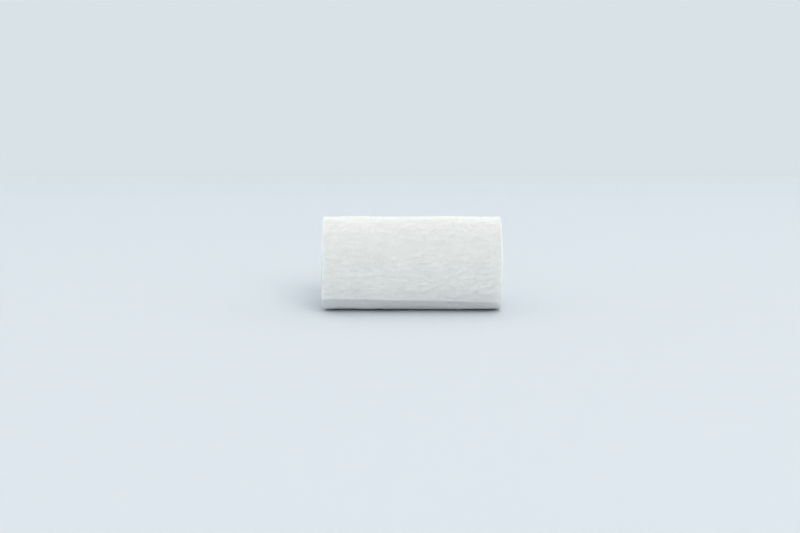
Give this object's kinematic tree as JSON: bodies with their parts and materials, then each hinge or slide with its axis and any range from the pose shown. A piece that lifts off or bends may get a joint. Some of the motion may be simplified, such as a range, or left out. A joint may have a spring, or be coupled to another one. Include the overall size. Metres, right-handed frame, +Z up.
{
  "type": "gauze bandage roll",
  "caption": "Rolled elastic gauze bandage: a narrow woven strip wound tightly on itself, lying on its side with its cut end lapped at the lower front.",
  "frame": {"origin": "the centre of the roll's box on X and Y, on the surface that its flat spot rests on", "axes": "+X along the roll's axis, -Y towards the viewer and the cut end, +Z up"},
  "size_m": [0.0612, 0.033, 0.0315],
  "materials": {
    "gauze": "matte, bleached white, crinkled elastic gauze weave"
  },
  "bodies": {
    "root": {"gauze_roll": "gauze"}
  },
  "joints": []
}
